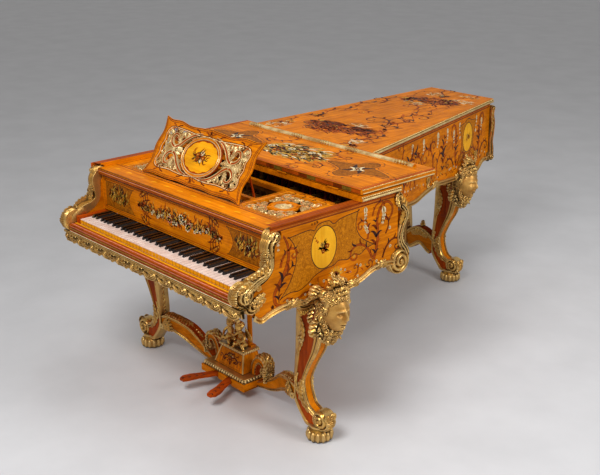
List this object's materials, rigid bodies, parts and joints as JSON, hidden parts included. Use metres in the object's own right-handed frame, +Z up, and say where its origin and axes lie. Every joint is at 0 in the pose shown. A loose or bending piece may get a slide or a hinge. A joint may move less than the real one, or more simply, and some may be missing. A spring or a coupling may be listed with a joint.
{
  "type": "grand piano",
  "caption": "Ornate grand piano in inlaid satinwood with carved gilt scrolls, masked cabriole legs, raised openwork music desk, folded lid flap and pedal stand with cherubs.",
  "frame": {"origin": "on the floor, under the middle of the whole piano's box", "axes": "+X from the bass side to the treble side, +Y from the keyboard to the tail, +Z up"},
  "size_m": [1.5248, 2.49, 1.1733],
  "materials": {
    "satinwood": "polished satinwood veneer with floral marquetry",
    "rosewood": "polished red-brown wood",
    "gilt": "carved and gilded",
    "ivory": "wooden key with a pale polished cover",
    "ebony": "polished black wood",
    "spruce": "varnished soundboard wood",
    "beech": "plain seasoned wood",
    "iron": "bronzed casting with steel strings",
    "felt": "wood with felt heads"
  },
  "bodies": {
    "case": {"key_bed": "beech", "bottom_frame": "beech", "spine_wall": "satinwood", "treble_wall": "satinwood", "bentside_wall": "satinwood", "tail_wall": "satinwood", "wrest_plank": "beech", "soundboard": "spruce", "string_plate": "iron", "iron_bars": "iron", "nameboard": "satinwood", "key_slip": "satinwood", "bass_key_block": "satinwood", "treble_key_block": "satinwood", "front_apron": "gilt", "bass_cheek_scroll": "gilt", "treble_cheek_scroll": "gilt", "treble_corner_scroll": "gilt", "tail_mounts": "gilt", "treble_apron": "gilt", "bentside_apron": "gilt", "spine_apron": "gilt", "front_treble_leg": "rosewood", "front_bass_leg": "rosewood", "rear_treble_leg": "rosewood", "rear_bass_leg": "rosewood", "front_treble_mask": "gilt", "front_bass_mask": "gilt", "rear_treble_mask": "gilt", "rear_bass_mask": "gilt", "front_stretcher": "satinwood", "rear_stretcher": "satinwood", "pedal_box": "satinwood", "cherub_pair": "gilt", "natural_keys": "ivory", "sharp_keys": "ebony", "pedal_rod_tubes": "gilt", "hammer_rack": "beech", "damper_rack": "felt"},
    "fallboard": {"fallboard": "satinwood"},
    "desk_slide": {"desk_slide": "satinwood"},
    "music_desk": {"music_desk": "satinwood"},
    "desk_prop": {"desk_prop": "rosewood"},
    "lid": {"lid": "satinwood"},
    "lid_flap": {"lid_flap": "satinwood"},
    "lid_prop_stick": {"lid_prop_stick": "beech"},
    "pedal_left": {"pedal_left": "rosewood"},
    "pedal_right": {"pedal_right": "rosewood"},
    "key_c": {"key_c": "ivory"},
    "key_d": {"key_d": "ivory"},
    "key_e": {"key_e": "ivory"},
    "key_f": {"key_f": "ivory"},
    "key_g": {"key_g": "ivory"},
    "key_a": {"key_a": "ivory"},
    "key_b": {"key_b": "ivory"},
    "key_c_sharp": {"key_c_sharp": "ebony"},
    "key_d_sharp": {"key_d_sharp": "ebony"},
    "key_f_sharp": {"key_f_sharp": "ebony"},
    "key_g_sharp": {"key_g_sharp": "ebony"},
    "key_a_sharp": {"key_a_sharp": "ebony"}
  },
  "joints": [
    {"name": "key_c_hinge", "type": "hinge", "parent": "case", "child": "key_c", "pos_m": [-0.0514, -0.972, 0.722], "axis": [1, 0, 0], "range_deg": [0, 2.5], "stiffness_Nm_per_rad": 0.6, "springref_deg": -10},
    {"name": "key_c_sharp_hinge", "type": "hinge", "parent": "case", "child": "key_c_sharp", "pos_m": [-0.0378, -0.972, 0.722], "axis": [1, 0, 0], "range_deg": [0, 2.5], "stiffness_Nm_per_rad": 0.6, "springref_deg": -10},
    {"name": "key_d_hinge", "type": "hinge", "parent": "case", "child": "key_d", "pos_m": [-0.0243, -0.972, 0.722], "axis": [1, 0, 0], "range_deg": [0, 2.5], "stiffness_Nm_per_rad": 0.6, "springref_deg": -10},
    {"name": "key_d_sharp_hinge", "type": "hinge", "parent": "case", "child": "key_d_sharp", "pos_m": [-0.0107, -0.972, 0.722], "axis": [1, 0, 0], "range_deg": [0, 2.5], "stiffness_Nm_per_rad": 0.6, "springref_deg": -10},
    {"name": "key_e_hinge", "type": "hinge", "parent": "case", "child": "key_e", "pos_m": [0.0029, -0.972, 0.722], "axis": [1, 0, 0], "range_deg": [0, 2.5], "stiffness_Nm_per_rad": 0.6, "springref_deg": -10},
    {"name": "key_f_hinge", "type": "hinge", "parent": "case", "child": "key_f", "pos_m": [0.0165, -0.972, 0.722], "axis": [1, 0, 0], "range_deg": [0, 2.5], "stiffness_Nm_per_rad": 0.6, "springref_deg": -10},
    {"name": "key_f_sharp_hinge", "type": "hinge", "parent": "case", "child": "key_f_sharp", "pos_m": [0.0301, -0.972, 0.722], "axis": [1, 0, 0], "range_deg": [0, 2.5], "stiffness_Nm_per_rad": 0.6, "springref_deg": -10},
    {"name": "key_g_hinge", "type": "hinge", "parent": "case", "child": "key_g", "pos_m": [0.0437, -0.972, 0.722], "axis": [1, 0, 0], "range_deg": [0, 2.5], "stiffness_Nm_per_rad": 0.6, "springref_deg": -10},
    {"name": "key_g_sharp_hinge", "type": "hinge", "parent": "case", "child": "key_g_sharp", "pos_m": [0.0572, -0.972, 0.722], "axis": [1, 0, 0], "range_deg": [0, 2.5], "stiffness_Nm_per_rad": 0.6, "springref_deg": -10},
    {"name": "key_a_hinge", "type": "hinge", "parent": "case", "child": "key_a", "pos_m": [0.0708, -0.972, 0.722], "axis": [1, 0, 0], "range_deg": [0, 2.5], "stiffness_Nm_per_rad": 0.6, "springref_deg": -10},
    {"name": "key_a_sharp_hinge", "type": "hinge", "parent": "case", "child": "key_a_sharp", "pos_m": [0.0844, -0.972, 0.722], "axis": [1, 0, 0], "range_deg": [0, 2.5], "stiffness_Nm_per_rad": 0.6, "springref_deg": -10},
    {"name": "key_b_hinge", "type": "hinge", "parent": "case", "child": "key_b", "pos_m": [0.098, -0.972, 0.722], "axis": [1, 0, 0], "range_deg": [0, 2.5], "stiffness_Nm_per_rad": 0.6, "springref_deg": -10},
    {"name": "fallboard_hinge", "type": "hinge", "parent": "case", "child": "fallboard", "pos_m": [0, -1.047, 0.758], "axis": [1, 0, 0], "range_deg": [0, 90]},
    {"name": "desk_slide_slide", "type": "slide", "parent": "case", "child": "desk_slide", "axis": [0, 1, 0], "range_m": [0, 0.06]},
    {"name": "music_desk_hinge", "type": "hinge", "parent": "desk_slide", "child": "music_desk", "pos_m": [-0.052, -0.953, 0.95], "axis": [1, 0, 0], "range_deg": [-56, 0]},
    {"name": "desk_prop_hinge", "type": "hinge", "parent": "desk_slide", "child": "desk_prop", "pos_m": [-0.052, -0.835, 0.9397], "axis": [1, 0, 0], "range_deg": [-103, 0]},
    {"name": "lid_hinge", "type": "hinge", "parent": "case", "child": "lid", "pos_m": [-0.617, 0.293, 0.965], "axis": [0, -1, 0], "range_deg": [0, 40]},
    {"name": "lid_flap_hinge", "type": "hinge", "parent": "lid", "child": "lid_flap", "pos_m": [0, -0.619, 0.9895], "axis": [1, 0, 0], "range_deg": [0, 180]},
    {"name": "lid_prop_hinge", "type": "hinge", "parent": "case", "child": "lid_prop_stick", "pos_m": [-0.027, -0.564, 0.9555], "axis": [0, -1, 0], "range_deg": [0, 80]},
    {"name": "pedal_left_hinge", "type": "hinge", "parent": "case", "child": "pedal_left", "pos_m": [-0.046, -0.757, 0.062], "axis": [1, 0, 0], "range_deg": [0, 3.5], "stiffness_Nm_per_rad": 6, "springref_deg": -5.73},
    {"name": "pedal_right_hinge", "type": "hinge", "parent": "case", "child": "pedal_right", "pos_m": [0.046, -0.757, 0.062], "axis": [1, 0, 0], "range_deg": [0, 3.5], "stiffness_Nm_per_rad": 6, "springref_deg": -5.73}
  ],
  "couplings": [
    {"joint": "music_desk_hinge", "follows": "lid_flap_hinge", "ratio": -0.31111},
    {"joint": "desk_prop_hinge", "follows": "lid_flap_hinge", "ratio": -0.57222},
    {"joint": "lid_prop_hinge", "follows": "lid_hinge", "ratio": 2}
  ]
}
